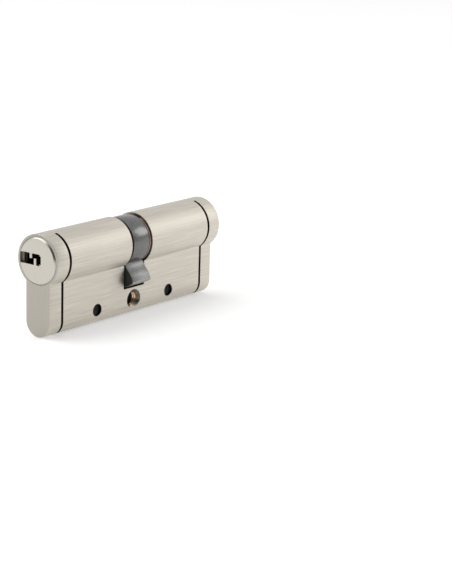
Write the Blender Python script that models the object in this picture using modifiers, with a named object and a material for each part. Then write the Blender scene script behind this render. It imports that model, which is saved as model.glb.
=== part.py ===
"""Double euro profile lock cylinder, 40/40, with its plugs, cam, clutch, pins, springs and anti-snap bar.

The origin is on the plugs' axis, above the fixing screw's hole. +X runs along the plugs, from the front end
at -X to the rear end at +X, and +Z is up: the flat lower body hangs below the round barrel. The rear half's
inner works are the front half's, turned half a turn about Z. Every length is in metres.
"""

import math

import bmesh
import bpy
from mathutils import Matrix, Vector

# Standard profile, and the length of each half from the fixing screw to the end face
HALF_LENGTH = 0.040
BARREL_R = 0.0085
BODY_HALF_WIDTH = 0.005
BODY_BOTTOM_Z = -0.0245

# Slot for the cam, and the hole for the fixing screw that crosses the body below it
SLOT_HALF_WIDTH = 0.00505
SLOT_R = 0.01565
SCREW_Z = -0.01887
SCREW_BORE_R = 0.00215
SCREW_MOUTH_R = 0.0033

# Sacrificial groove near each end: it leaves the top of the barrel whole
GROOVE_X = 0.03427
GROOVE_WIDTH = 0.001
GROOVE_DEPTH = 0.001
GROOVE_TOP_ANGLE = math.radians(13.5)

# Plug bore, the wider recess for the plug's head, and the plug itself
BORE_R = 0.0066
HEAD_BORE_R = 0.00763
HEAD_BORE_DEPTH = 0.0018
PLUG_R = 0.0065
HEAD_R = 0.00753
HEAD_CHAMFER = 0.00042
HEAD_RISE = 0.00045
HEAD_BACK_X = 0.0384
NECK_R = 0.0054
NECK_END_X = 0.0012
CLIP_GROOVE_R = 0.0048
CLIP_GROOVE_X = (0.0041, 0.00495)

# Keyway, offset towards +Y in the front plug, with a ward from above and one from below
KEYWAY_Y = (-0.0015, 0.00565)
KEYWAY_Z = (-0.0014, 0.00218)
UPPER_WARD_Y = (0.0021, 0.0032)
UPPER_WARD_Z = 0.0006
LOWER_WARD_Y = (0.0004, 0.0014)
LOWER_WARD_Z = 0.0007
KEYWAY_STEP = 0.0005
KEYWAY_END_X = 0.006
HEAD_RECESS_Y = 0.0071
HEAD_RECESS_DEPTH = 0.0013
HEAD_STEP_Y = 0.0066
HEAD_STEP_DEPTH = 0.0017
TIP_PASSAGE_Y = (-0.0012, 0.002)
TIP_PASSAGE_Z = (-0.001, 0.0016)

# Pin chambers below each plug. A pin's bitting raises its tip and shortens the driver under it
PIN_FIRST_X = 0.0302
PIN_PITCH = 0.0042
BITTINGS = (1, 3, 0, 2, 4)
BITTING_STEP = 0.00025
CHAMBER_R = 0.00145
CHAMBER_TOP_Z = 0.00075
PIN_R = 0.00135
PIN_TIP_R = 0.0004
PIN_TIP_HEIGHT = 0.00095
PIN_TIP_Z = -0.0012
PIN_FOOT_Z = -0.0064
PIN_CHAMFER = 0.0003
DRIVER_TOP_Z = -0.00662
DRIVER_LENGTH = 0.0046

# Coil spring under each driver pin
SPRING_FOOT_Z = -0.0158
SPRING_GAP = 0.0003
SPRING_R = 0.00105
SPRING_WIRE_R = 0.00015
SPRING_TURNS = 4
POINTS_PER_TURN = 7

# Steel bar in the underside, and the two pins that cross the body through it
BAR_SLOT = (0.03235, 0.0021, -0.01595)
BAR_GAP = 0.00015
CROSS_PIN_X = 0.01775
CROSS_PIN_Z = -0.01915
CROSS_HOLE_R = 0.00205
CROSS_PIN_R = 0.00195
CROSS_PIN_HALF_LENGTH = 0.00415

# Hardened pins against drilling: one in the body, one in each plug
BODY_DRILL_PIN_X = 0.0374
BODY_DRILL_PIN_R = 0.0012
BODY_DRILL_PIN_Z = (-0.0241, -0.0103)
PLUG_DRILL_PIN_X = -0.0368
PLUG_DRILL_PIN_Y = -0.0036
PLUG_DRILL_PIN_R = 0.00072
PLUG_DRILL_PIN_Z = (-0.0049, 0.004)
DRILL_PIN_GAP = 0.0001

# Cam ring and its lever, which leans towards -Y
CAM_X = (-0.00385, 0.00395)
CAM_R = 0.0081
CAM_BORE_R = 0.0056
LEVER_X = (-0.0044, 0.0045)
LEVER_ANGLE = math.radians(24.4)
LEVER_NECK_HALF_THICKNESS = 0.00175
LEVER_TIP_HALF_THICKNESS = 0.00268
LEVER_FLARE = (0.0086, 0.0128)
LEVER_CLEARANCE_R = 0.0083
LEVER_TIP_R = 0.015
LEVER_ROOT_R = 0.0074
LEVER_CORNER_R = 0.0007

# Clutch bar in the cam's two inner grooves
CLUTCH_X = (-0.00385, -0.00125)
CLUTCH_R = 0.0063
CLUTCH_HALF_HEIGHT = 0.0011
CLUTCH_GROOVE_R = 0.0065
CLUTCH_GROOVE_HALF_HEIGHT = 0.00125
PLUG_SLOT_BOTTOM_X = 0.00395
PLUG_SLOT_HALF_HEIGHT = 0.0013

# Retaining clip on each plug, between the body and the cam
CLIP_X = (0.0042, 0.00485)
CLIP_OUTER_R = 0.008
CLIP_INNER_R = 0.00495
CLIP_GAP_ANGLE = math.radians(25)

BARREL_SEGMENTS = 56
BARREL_SIDE_STEPS = 20
BOTTOM_STEPS = 12
BORE_SEGMENTS = 40
HOLE_SEGMENTS = 24
PIN_SEGMENTS = 12
MERGE = 1e-6
PAST = 0.001  # how far a cutter reaches past the surface that it opens
SHARP_ANGLE = math.radians(35)

# Local XY of a flat outline lies in the world's YZ, and its extrusion runs along X
ACROSS = Matrix(((0, 0, 1, 0), (1, 0, 0, 0), (0, 1, 0, 0), (0, 0, 0, 1)))


def clear_scene():
    for obj in list(bpy.data.objects):
        bpy.data.objects.remove(obj, do_unlink=True)


def new_collection(name):
    collection = bpy.data.collections.new(name)
    bpy.context.scene.collection.children.link(collection)
    return collection


def new_material(name, colour, roughness, metallic=1.0):
    material = bpy.data.materials.new(name)
    material.use_nodes = True
    shader = material.node_tree.nodes["Principled BSDF"]
    shader.inputs["Base Color"].default_value = (*colour, 1.0)
    shader.inputs["Roughness"].default_value = roughness
    shader.inputs["Metallic"].default_value = metallic
    return material


def add_part(name, mesh, material):
    """A visible piece of the cylinder."""
    mesh.name = name
    mesh.materials.append(material)
    obj = bpy.data.objects.new(name, mesh)
    PARTS.objects.link(obj)
    return obj


def add_cutter(name, mesh):
    mesh.name = name
    obj = bpy.data.objects.new(name, mesh)
    CUTTERS.objects.link(obj)
    obj.hide_render = True
    obj.display_type = "WIRE"
    return obj


def shade(mesh):
    mesh.shade_smooth()
    mesh.set_sharp_from_angle(angle=SHARP_ANGLE)


def arc(radius, start, end, steps, centre=(0.0, 0.0)):
    """Points of an arc in a flat outline, both ends included."""
    angles = [start + (end - start) * i / steps for i in range(steps + 1)]
    return [(centre[0] + radius * math.cos(a), centre[1] + radius * math.sin(a)) for a in angles]


def rod_mesh(start, end, radius, end_radius=None, segments=HOLE_SEGMENTS):
    """A closed cylinder, or a cone, between two points."""
    start, end = Vector(start), Vector(end)
    turn = Vector((0, 0, 1)).rotation_difference(end - start).to_matrix().to_4x4()
    bm = bmesh.new()
    bmesh.ops.create_cone(
        bm,
        cap_ends=True,
        segments=segments,
        radius1=radius,
        radius2=radius if end_radius is None else end_radius,
        depth=(end - start).length,
        matrix=Matrix.Translation((start + end) / 2) @ turn,
    )
    mesh = bpy.data.meshes.new("rod")
    bm.to_mesh(mesh)
    bm.free()
    shade(mesh)
    return mesh


def box_mesh(low, high):
    low, high = Vector(low), Vector(high)
    bm = bmesh.new()
    bmesh.ops.create_cube(bm, size=1.0)
    place = Matrix.Translation((low + high) / 2) @ Matrix.Diagonal((*(high - low), 1.0))
    bmesh.ops.transform(bm, matrix=place, verts=bm.verts)
    mesh = bpy.data.meshes.new("box")
    bm.to_mesh(mesh)
    bm.free()
    return mesh


def curve_to_mesh(curve, matrix):
    """The mesh of a curve, its caps welded, with its points moved by the matrix."""
    guide = bpy.data.objects.new(curve.name, curve)
    bpy.context.scene.collection.objects.link(guide)
    bpy.context.view_layer.update()
    evaluated = guide.evaluated_get(bpy.context.evaluated_depsgraph_get())
    mesh = bpy.data.meshes.new_from_object(evaluated)
    bpy.data.objects.remove(guide, do_unlink=True)
    bm = bmesh.new()
    bm.from_mesh(mesh)
    bmesh.ops.remove_doubles(bm, verts=bm.verts, dist=MERGE)
    bmesh.ops.transform(bm, matrix=matrix, verts=bm.verts)
    bmesh.ops.recalc_face_normals(bm, faces=bm.faces)
    bm.to_mesh(mesh)
    bm.free()
    return mesh


def extruded_mesh(outlines, x_low, x_high):
    """Flat (y, z) outlines filled and extruded along X. An outline inside another is a hole."""
    curve = bpy.data.curves.new("outline", "CURVE")
    curve.dimensions = "2D"
    curve.fill_mode = "BOTH"
    curve.extrude = (x_high - x_low) / 2
    for outline in outlines:
        spline = curve.splines.new("POLY")
        spline.points.add(len(outline) - 1)
        for point, (y, z) in zip(spline.points, outline):
            point.co = (y, z, 0, 1)
        spline.use_cyclic_u = True
    mesh = curve_to_mesh(curve, Matrix.Translation(((x_low + x_high) / 2, 0, 0)) @ ACROSS)
    shade(mesh)
    return mesh


def turned(name, profile, material, segments):
    """A piece turned about its own Z from (radius, height) points, from the top down its outer side."""
    mesh = bpy.data.meshes.new(name)
    edges = [(i, i + 1) for i in range(len(profile) - 1)]
    mesh.from_pydata([(radius, 0, height) for radius, height in profile], edges, [])
    obj = add_part(name, mesh, material)
    screw = obj.modifiers.new("Turn", "SCREW")
    screw.axis = "Z"
    screw.steps = segments
    screw.render_steps = segments
    screw.use_merge_vertices = True
    screw.merge_threshold = MERGE
    screw.use_smooth_shade = True
    return obj


def boolean(obj, operation, others, solver="EXACT"):
    for other in others:
        modifier = obj.modifiers.new(other.name, "BOOLEAN")
        modifier.operation = operation
        modifier.solver = solver
        modifier.object = other


def body_outline(inset, top_angle):
    """The body's profile, moved inwards by the inset and open over top_angle either side of the top."""
    radius = BARREL_R - inset
    half_width = BODY_HALF_WIDTH - inset
    bottom_centre = (0.0, BODY_BOTTOM_Z + BODY_HALF_WIDTH)
    join = math.asin(half_width / radius) - math.pi / 2
    top = math.pi / 2
    right = arc(radius, top - top_angle, join, BARREL_SIDE_STEPS)
    bottom = arc(half_width, 0, -math.pi, BOTTOM_STEPS, bottom_centre)
    left = arc(radius, -math.pi - join, -math.pi * 1.5 + top_angle, BARREL_SIDE_STEPS)
    return right + bottom + left


def groove_outline():
    """A band along the profile, from outside the body to the groove's floor."""
    outer = body_outline(-PAST, GROOVE_TOP_ANGLE)
    inner = body_outline(GROOVE_DEPTH, GROOVE_TOP_ANGLE)
    return outer + inner[::-1]


def make_housing(material):
    outline = body_outline(0.0, 0.0)[:-1]
    housing = add_part("housing", extruded_mesh([outline], -HALF_LENGTH, HALF_LENGTH), material)
    cutters = [SCREW_HOLE, *CROSS_HOLES]
    slot_x, slot_y, slot_z = BAR_SLOT
    slot_floor = BODY_BOTTOM_Z - PAST
    bar_slot = box_mesh((-slot_x, -slot_y, slot_floor), (slot_x, slot_y, slot_z))
    cutters.append(add_cutter("bar_slot", bar_slot))
    cam_slot = rod_mesh((-SLOT_HALF_WIDTH, 0, 0), (SLOT_HALF_WIDTH, 0, 0), SLOT_R, segments=BARREL_SEGMENTS)
    for side, end in ((-1, "front"), (1, "rear")):
        face = side * HALF_LENGTH
        outside = face + side * PAST
        bore = rod_mesh((outside, 0, 0), (side * SLOT_HALF_WIDTH / 2, 0, 0), BORE_R, segments=BORE_SEGMENTS)
        cutters.append(add_cutter(f"plug_bore_{end}", bore))
        head_floor = face - side * HEAD_BORE_DEPTH
        recess = rod_mesh((outside, 0, 0), (head_floor, 0, 0), HEAD_BORE_R, segments=BORE_SEGMENTS)
        cutters.append(add_cutter(f"head_recess_{end}", recess))
        groove_low = side * GROOVE_X - GROOVE_WIDTH / 2
        groove = extruded_mesh([groove_outline()], groove_low, groove_low + GROOVE_WIDTH)
        cutters.append(add_cutter(f"groove_{end}", groove))
        drill_x = side * BODY_DRILL_PIN_X
        drill_top = BODY_DRILL_PIN_Z[1] + DRILL_PIN_GAP
        drill_r = BODY_DRILL_PIN_R + DRILL_PIN_GAP
        drill = rod_mesh((drill_x, 0, slot_floor), (drill_x, 0, drill_top), drill_r)
        cutters.append(add_cutter(f"body_drill_hole_{end}", drill))
        for number in range(len(BITTINGS)):
            x = side * (PIN_FIRST_X - number * PIN_PITCH)
            low = (x, 0, slot_z - PAST / 2)
            high = (x, 0, PAST - BORE_R)
            chamber = rod_mesh(low, high, CHAMBER_R, segments=PIN_SEGMENTS)
            cutters.append(add_cutter(f"chamber_{end}_{number + 1}", chamber))
    for side, flank in ((-1, "left"), (1, "right")):
        outside = (0, side * (BODY_HALF_WIDTH + PAST), SCREW_Z)
        inside = (0, side * (BODY_HALF_WIDTH - PAST), SCREW_Z)
        mouth = rod_mesh(outside, inside, SCREW_MOUTH_R + PAST, SCREW_MOUTH_R - PAST)
        cutters.append(add_cutter(f"screw_mouth_{flank}", mouth))
    cutters.append(add_cutter("cam_slot", cam_slot))
    # The many near-flush facets of the grooves and bores leave the exact solver with open edges.
    boolean(housing, "DIFFERENCE", cutters, solver="MANIFOLD")


def make_bar(material):
    slot_x, slot_y, slot_z = BAR_SLOT
    half_width = slot_y - BAR_GAP
    radius = BODY_HALF_WIDTH - 2 * BAR_GAP / 3
    spread = math.asin(half_width / radius)
    centre = (0.0, BODY_BOTTOM_Z + BODY_HALF_WIDTH)
    bottom = arc(radius, -math.pi / 2 + spread, -math.pi / 2 - spread, 6, centre)
    outline = [(half_width, slot_z - BAR_GAP), *bottom, (-half_width, slot_z - BAR_GAP)]
    bar = add_part("anti_snap_bar", extruded_mesh([outline], BAR_GAP - slot_x, slot_x - BAR_GAP), material)
    boolean(bar, "DIFFERENCE", [SCREW_HOLE, *CROSS_HOLES])


def make_cross_pins(material):
    for side, end in ((-1, "front"), (1, "rear")):
        reach = CROSS_PIN_HALF_LENGTH
        mesh = rod_mesh((0, -reach, 0), (0, reach, 0), CROSS_PIN_R)
        pin = add_part(f"cross_pin_{end}", mesh, material)
        pin.location = (side * CROSS_PIN_X, 0, CROSS_PIN_Z)


def make_body_drill_pins(material):
    for side, end in ((-1, "front"), (1, "rear")):
        low, high = BODY_DRILL_PIN_Z
        mesh = rod_mesh((0, 0, low), (0, 0, high), BODY_DRILL_PIN_R, segments=PIN_SEGMENTS)
        pin = add_part(f"body_drill_pin_{end}", mesh, material)
        pin.location = (side * BODY_DRILL_PIN_X, 0, 0)


def keyway_outline():
    low_y, high_y = KEYWAY_Y
    low_z, high_z = KEYWAY_Z
    step = KEYWAY_STEP
    return [
        (low_y, low_z + step),
        (low_y + step, low_z + step),
        (low_y + step, low_z),
        (LOWER_WARD_Y[0], low_z),
        (LOWER_WARD_Y[0], LOWER_WARD_Z),
        (LOWER_WARD_Y[1], LOWER_WARD_Z),
        (LOWER_WARD_Y[1], low_z),
        (high_y, low_z),
        (high_y, high_z),
        (UPPER_WARD_Y[1], high_z),
        (UPPER_WARD_Y[1], UPPER_WARD_Z),
        (UPPER_WARD_Y[0], UPPER_WARD_Z),
        (UPPER_WARD_Y[0], high_z),
        (low_y + step, high_z),
        (low_y + step, high_z - step),
        (low_y, high_z - step),
    ]


def plug_profile():
    """(radius, distance from the middle of the cylinder), from the head's face to the neck's end."""
    groove_low, groove_high = CLIP_GROOVE_X
    face = HALF_LENGTH + HEAD_RISE
    return [
        (0, face),
        (HEAD_R - HEAD_CHAMFER, face),
        (HEAD_R, face - HEAD_CHAMFER),
        (HEAD_R, HEAD_BACK_X),
        (PLUG_R, HEAD_BACK_X),
        (PLUG_R, groove_high),
        (CLIP_GROOVE_R, groove_high),
        (CLIP_GROOVE_R, groove_low),
        (NECK_R, groove_low),
        (NECK_R, NECK_END_X),
        (0, NECK_END_X),
    ]


def plug_cutters(end, half):
    """Keyway and its wider mouth, the key tip's passage, the clutch slot, chambers and drill hole."""
    face = -HALF_LENGTH - HEAD_RISE
    mouth_low = (face - PAST, KEYWAY_Y[1] - PAST, KEYWAY_Z[0])
    meshes = {
        "keyway": extruded_mesh([keyway_outline()], face - PAST, -KEYWAY_END_X),
        "keyway_mouth": box_mesh(mouth_low, (face + HEAD_RECESS_DEPTH, HEAD_RECESS_Y, KEYWAY_Z[1])),
        "keyway_step": box_mesh(mouth_low, (face + HEAD_STEP_DEPTH, HEAD_STEP_Y, KEYWAY_Z[1])),
        "tip_passage": box_mesh(
            (-KEYWAY_END_X - PAST, TIP_PASSAGE_Y[0], TIP_PASSAGE_Z[0]),
            (-PLUG_SLOT_BOTTOM_X + PAST, TIP_PASSAGE_Y[1], TIP_PASSAGE_Z[1]),
        ),
        "clutch_slot": box_mesh(
            (-PLUG_SLOT_BOTTOM_X, -NECK_R - PAST, -PLUG_SLOT_HALF_HEIGHT),
            (PAST - NECK_END_X, NECK_R + PAST, PLUG_SLOT_HALF_HEIGHT),
        ),
        "drill_hole": rod_mesh(
            (PLUG_DRILL_PIN_X, PLUG_DRILL_PIN_Y, -PLUG_R),
            (PLUG_DRILL_PIN_X, PLUG_DRILL_PIN_Y, PLUG_DRILL_PIN_Z[1] + DRILL_PIN_GAP),
            PLUG_DRILL_PIN_R + DRILL_PIN_GAP,
            segments=PIN_SEGMENTS,
        ),
    }
    for number in range(len(BITTINGS)):
        x = number * PIN_PITCH - PIN_FIRST_X
        low = (x, 0, -PLUG_R - PAST)
        high = (x, 0, CHAMBER_TOP_Z)
        meshes[f"chamber_{number + 1}"] = rod_mesh(low, high, CHAMBER_R, segments=PIN_SEGMENTS)
    cutters = []
    for name, mesh in meshes.items():
        cutter = add_cutter(f"plug_{end}_{name}", mesh)
        cutter.parent = half
        cutters.append(cutter)
    return cutters


def make_plug(end, half, materials):
    plug = turned(f"plug_{end}", plug_profile(), materials["plug"], BORE_SEGMENTS)
    plug.parent = half
    plug.rotation_euler = (0, -math.pi / 2, 0)
    boolean(plug, "DIFFERENCE", plug_cutters(end, half))
    low, high = PLUG_DRILL_PIN_Z
    mesh = rod_mesh((0, 0, low), (0, 0, high), PLUG_DRILL_PIN_R, segments=PIN_SEGMENTS)
    drill_pin = add_part(f"plug_drill_pin_{end}", mesh, materials["hard_steel"])
    drill_pin.parent = half
    drill_pin.location = (PLUG_DRILL_PIN_X, PLUG_DRILL_PIN_Y, 0)


def make_clip(end, half, material):
    """An open ring that snaps into the plug's groove."""
    start = math.pi / 2 + CLIP_GAP_ANGLE
    finish = math.pi * 2.5 - CLIP_GAP_ANGLE
    steps = BORE_SEGMENTS * 3 // 4
    outline = arc(CLIP_OUTER_R, start, finish, steps) + arc(CLIP_INNER_R, finish, start, steps)
    clip = add_part(f"circlip_{end}", extruded_mesh([outline], -CLIP_X[1], -CLIP_X[0]), material)
    clip.parent = half


def make_pin_stack(end, half, number, materials):
    """One chamber's key pin, driver pin and spring, at the height at which the plug is free to turn."""
    x = number * PIN_PITCH - PIN_FIRST_X
    raise_by = BITTINGS[number] * BITTING_STEP
    tip = PIN_TIP_Z + raise_by - PIN_FOOT_Z
    key_pin_profile = [
        (0, tip),
        (PIN_TIP_R, tip),
        (PIN_R, tip - PIN_TIP_HEIGHT),
        (PIN_R, PIN_CHAMFER),
        (PIN_R - PIN_CHAMFER, 0),
        (0, 0),
    ]
    key_pin = turned(f"key_pin_{end}_{number + 1}", key_pin_profile, materials["pin"], PIN_SEGMENTS)
    key_pin.parent = half
    key_pin.location = (x, 0, PIN_FOOT_Z)
    length = DRIVER_LENGTH - raise_by
    driver_profile = [
        (0, 0),
        (PIN_R - PIN_CHAMFER, 0),
        (PIN_R, -PIN_CHAMFER),
        (PIN_R, PIN_CHAMFER - length),
        (PIN_R - PIN_CHAMFER, -length),
        (0, -length),
    ]
    driver = turned(f"driver_pin_{end}_{number + 1}", driver_profile, materials["driver"], PIN_SEGMENTS)
    driver.parent = half
    driver.location = (x, 0, DRIVER_TOP_Z)
    height = DRIVER_TOP_Z - length - SPRING_GAP - SPRING_FOOT_Z
    spring = add_part(f"driver_spring_{end}_{number + 1}", spring_mesh(height), materials["spring"])
    spring.parent = half
    spring.location = (x, 0, SPRING_FOOT_Z)


def spring_mesh(height):
    """A coil that stands on its own origin."""
    curve = bpy.data.curves.new("spring", "CURVE")
    curve.dimensions = "3D"
    curve.bevel_depth = SPRING_WIRE_R
    curve.bevel_resolution = 2
    curve.use_fill_caps = True
    count = SPRING_TURNS * POINTS_PER_TURN + 1
    spline = curve.splines.new("POLY")
    spline.points.add(count - 1)
    for i, point in enumerate(spline.points):
        share = i / (count - 1)
        angle = 2 * math.pi * SPRING_TURNS * share
        z = SPRING_WIRE_R + (height - 2 * SPRING_WIRE_R) * share
        point.co = (SPRING_R * math.cos(angle), SPRING_R * math.sin(angle), z, 1)
    mesh = curve_to_mesh(curve, Matrix.Identity(4))
    shade(mesh)
    return mesh


def lever_flank(steps):
    """(distance from the axis, half thickness) along a flank, which flares smoothly to the tip."""
    start, end = LEVER_FLARE
    swell = LEVER_TIP_HALF_THICKNESS - LEVER_NECK_HALF_THICKNESS
    points = [(LEVER_ROOT_R, LEVER_NECK_HALF_THICKNESS)]
    for i in range(steps + 1):
        share = i / steps
        ease = share * share * (3 - 2 * share)
        points.append((start + (end - start) * share, LEVER_NECK_HALF_THICKNESS + swell * ease))
    return points


def lever_outline():
    """The lever's flanks flare from inside the ring to a tip that is round about the axis."""
    corner = LEVER_CORNER_R
    # Centre of the tip's corner round: it touches the flank and the tip's arc from inside.
    offset = LEVER_TIP_HALF_THICKNESS - corner
    reach = math.sqrt((LEVER_TIP_R - corner) ** 2 - offset**2)
    lean = math.atan2(offset, reach)
    flank = lever_flank(8)
    right = arc(corner, math.pi / 2, lean, 4, (reach, offset))
    tip = arc(LEVER_TIP_R, lean, -lean, 6)[1:-1]
    left = arc(corner, -lean, -math.pi / 2, 4, (reach, -offset))
    back = [(u, -v) for u, v in reversed(flank)]
    along = [*flank, *right, *tip, *left, *back]
    turn = -math.pi / 2 - LEVER_ANGLE
    cos, sin = math.cos(turn), math.sin(turn)
    return [(u * cos - v * sin, u * sin + v * cos) for u, v in along]


def cam_bore_outline():
    """The ring's bore, with a groove for the clutch on each side."""
    half = CLUTCH_GROOVE_HALF_HEIGHT
    inner = math.asin(half / CAM_BORE_R)
    outer = math.asin(half / CLUTCH_GROOVE_R)
    steps = BORE_SEGMENTS // 2 - 4
    upper = arc(CAM_BORE_R, inner, math.pi - inner, steps)
    lower = arc(CAM_BORE_R, math.pi + inner, 2 * math.pi - inner, steps)
    left = arc(CLUTCH_GROOVE_R, math.pi - outer, math.pi + outer, 4)
    right = arc(CLUTCH_GROOVE_R, -outer, outer, 4)
    return upper + left + lower + right


def make_cam(material):
    ring = [arc(CAM_R, 0, 2 * math.pi, BARREL_SEGMENTS)[:-1], cam_bore_outline()]
    cam = add_part("cam", extruded_mesh(ring, *CAM_X), material)
    lever = add_cutter("cam_lever", extruded_mesh([lever_outline()], *LEVER_X))
    # The lever is wider than the ring, and its ends stay clear of the clips beside the ring.
    clearances = []
    for name, inside, outside in (("front", CAM_X[0], LEVER_X[0]), ("rear", CAM_X[1], LEVER_X[1])):
        side = math.copysign(1.0, outside)
        start, end = (inside - side * PAST / 4, 0, 0), (outside + side * PAST, 0, 0)
        clearance = rod_mesh(start, end, LEVER_CLEARANCE_R, segments=BARREL_SEGMENTS)
        clearances.append(add_cutter(f"cam_clearance_{name}", clearance))
    boolean(lever, "DIFFERENCE", clearances)
    boolean(cam, "UNION", [lever])


def make_clutch(material):
    spread = math.asin(CLUTCH_HALF_HEIGHT / CLUTCH_R)
    outline = arc(CLUTCH_R, -spread, spread, 4) + arc(CLUTCH_R, math.pi - spread, math.pi + spread, 4)
    add_part("clutch", extruded_mesh([outline], *CLUTCH_X), material)


def make_half(end, turn, materials):
    """One half's inner works, hung on an empty on the plug's axis."""
    half = bpy.data.objects.new(f"{end}_half", None)
    half.rotation_euler = (0, 0, turn)
    PARTS.objects.link(half)
    make_plug(end, half, materials)
    make_clip(end, half, materials["spring"])
    for number in range(len(BITTINGS)):
        make_pin_stack(end, half, number, materials)


def make_shared_holes():
    """The cutters of the holes that cross both the body and the bar in it."""
    reach = BODY_HALF_WIDTH + PAST
    screw_mesh = rod_mesh((0, -reach, SCREW_Z), (0, reach, SCREW_Z), SCREW_BORE_R)
    cross_holes = []
    for side, end in ((-1, "front"), (1, "rear")):
        x = side * CROSS_PIN_X
        mesh = rod_mesh((x, -reach, CROSS_PIN_Z), (x, reach, CROSS_PIN_Z), CROSS_HOLE_R)
        cross_holes.append(add_cutter(f"cross_hole_{end}", mesh))
    return add_cutter("screw_hole", screw_mesh), cross_holes


clear_scene()
PARTS = new_collection("euro_cylinder")
CUTTERS = new_collection("cutters")
SCREW_HOLE, CROSS_HOLES = make_shared_holes()
MATERIALS = {
    "body": new_material("satin_nickel", (0.60, 0.57, 0.51), 0.34),
    "plug": new_material("satin_nickel_plug", (0.63, 0.61, 0.56), 0.30),
    "cam": new_material("sintered_steel", (0.16, 0.165, 0.165), 0.48),
    "pin": new_material("brass", (0.72, 0.52, 0.24), 0.28),
    "driver": new_material("nickel_silver", (0.62, 0.60, 0.52), 0.25),
    "spring": new_material("spring_steel", (0.42, 0.42, 0.43), 0.32),
    "bar": new_material("bar_steel", (0.36, 0.36, 0.37), 0.40),
    "black_steel": new_material("blackened_steel", (0.02, 0.02, 0.022), 0.45),
    "hard_steel": new_material("hardened_steel", (0.30, 0.30, 0.32), 0.30),
}
make_housing(MATERIALS["body"])
make_bar(MATERIALS["bar"])
make_cross_pins(MATERIALS["black_steel"])
make_body_drill_pins(MATERIALS["hard_steel"])
make_half("front", 0.0, MATERIALS)
make_half("rear", math.pi, MATERIALS)
make_cam(MATERIALS["cam"])
make_clutch(MATERIALS["bar"])
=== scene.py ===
"""Looks of the euro cylinder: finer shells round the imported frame, their metals, the lights and the camera.

Every length is in metres, in the frame of the CAD model: X along the plugs, -X the front end, +Z up.
"""

import math

import bmesh
import bpy
from mathutils import Matrix, Vector


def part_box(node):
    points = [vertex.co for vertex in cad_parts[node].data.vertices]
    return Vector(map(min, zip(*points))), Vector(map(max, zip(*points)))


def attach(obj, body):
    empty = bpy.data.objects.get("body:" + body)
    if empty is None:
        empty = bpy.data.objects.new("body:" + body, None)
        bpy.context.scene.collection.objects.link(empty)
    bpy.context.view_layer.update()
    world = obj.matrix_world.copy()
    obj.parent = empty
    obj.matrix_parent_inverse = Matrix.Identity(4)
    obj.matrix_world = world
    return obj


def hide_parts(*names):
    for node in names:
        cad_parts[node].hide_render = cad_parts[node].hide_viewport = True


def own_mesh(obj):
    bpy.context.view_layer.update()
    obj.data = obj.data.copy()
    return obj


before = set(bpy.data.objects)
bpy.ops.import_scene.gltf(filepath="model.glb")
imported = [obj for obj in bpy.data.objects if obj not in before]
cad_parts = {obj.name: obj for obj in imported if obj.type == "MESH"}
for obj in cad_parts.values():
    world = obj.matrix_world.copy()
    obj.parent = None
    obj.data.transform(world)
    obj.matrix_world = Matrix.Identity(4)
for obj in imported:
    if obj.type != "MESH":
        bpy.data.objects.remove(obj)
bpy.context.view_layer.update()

# Sizes read from the frame
HOUSING_LOW, HOUSING_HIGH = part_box("housing")
HALF_LENGTH = HOUSING_HIGH.x
BARREL_R = HOUSING_HIGH.z
BODY_BOTTOM_Z = HOUSING_LOW.z
PLUG_LOW, PLUG_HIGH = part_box("plug_front")
HEAD_R = PLUG_HIGH.z
HEAD_FACE_X = -PLUG_LOW.x
NECK_END_X = -PLUG_HIGH.x
CAM_LOW, CAM_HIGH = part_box("cam")
CAM_R = CAM_HIGH.z
BAR_LOW, BAR_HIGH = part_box("anti_snap_bar")
PIN_PREFIX = "key_pin_front_"
PINS = sorted(name[len(PIN_PREFIX):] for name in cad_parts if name.startswith(PIN_PREFIX))
ENDS = (("front", -1), ("rear", 1))

# Body
BODY_HALF_WIDTH = 0.005
SLOT_HALF_WIDTH = 0.00505
SLOT_R = 0.01565
GROOVE_X = 0.03427
GROOVE_WIDTH = 0.00105
GROOVE_DEPTH = 0.001
GROOVE_TOP_ANGLE = math.radians(13.5)
SCREW_Z = -0.01887
SCREW_MOUTH_R = 0.0033
THREAD_MINOR_R = 0.00215
THREAD_MAJOR_R = 0.00252
THREAD_PITCH = 0.0008
THREAD_STEPS = 10  # rings per turn
THREAD_SLOPE = 2.6  # thread depths that a flank climbs per pitch
THREAD_FLAT = 0.15  # thread depths taken off the root's point, which leave it flat
BORE_R = 0.0066
HEAD_BORE_R = 0.00763
HEAD_BORE_DEPTH = 0.0018
CHAMBER_R = 0.00145
CROSS_HOLE_R = 0.00205
CROSS_PIN_R = 0.00195
HOLE_CHAMFER = 0.00012
BODY_EDGE = 0.00012
BAR_GAP = 0.00015
BAR_INSET = 0.0001  # how far the bar's underside stays inside the body's
DRILL_PIN_GAP = 0.0001

# Plug
PLUG_R = 0.0065
HEAD_CHAMFER = 0.00042
HEAD_EDGE = 0.00016
HEAD_BACK_X = 0.0384
NECK_R = 0.0054
CLIP_GROOVE_R = 0.0048
CLIP_GROOVE_X = (0.0041, 0.00495)
KEYWAY_Y = (-0.0015, 0.00565)
KEYWAY_Z = (-0.0014, 0.00218)
UPPER_WARD_Y = (0.0021, 0.0032)
UPPER_WARD_Z = 0.0006
LOWER_WARD_Y = (0.0004, 0.0014)
LOWER_WARD_Z = 0.0007
KEYWAY_STEP = 0.0005
KEYWAY_END_X = 0.006
KEYWAY_CHAMFER = 0.0001
HEAD_RECESS_Y = 0.0071
HEAD_RECESS_DEPTH = 0.0013
HEAD_STEP_Y = 0.0066
HEAD_STEP_DEPTH = 0.0017
TIP_PASSAGE = ((-0.0012, -0.001), (0.002, 0.0016))
CLUTCH_SLOT = (0.00395, 0.0013)
PLUG_CHAMBER_TOP_Z = 0.00075
PLUG_DRILL_HOLE_R = 0.00082
PLUG_DRILL_HOLE_TOP_Z = 0.0041

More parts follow.
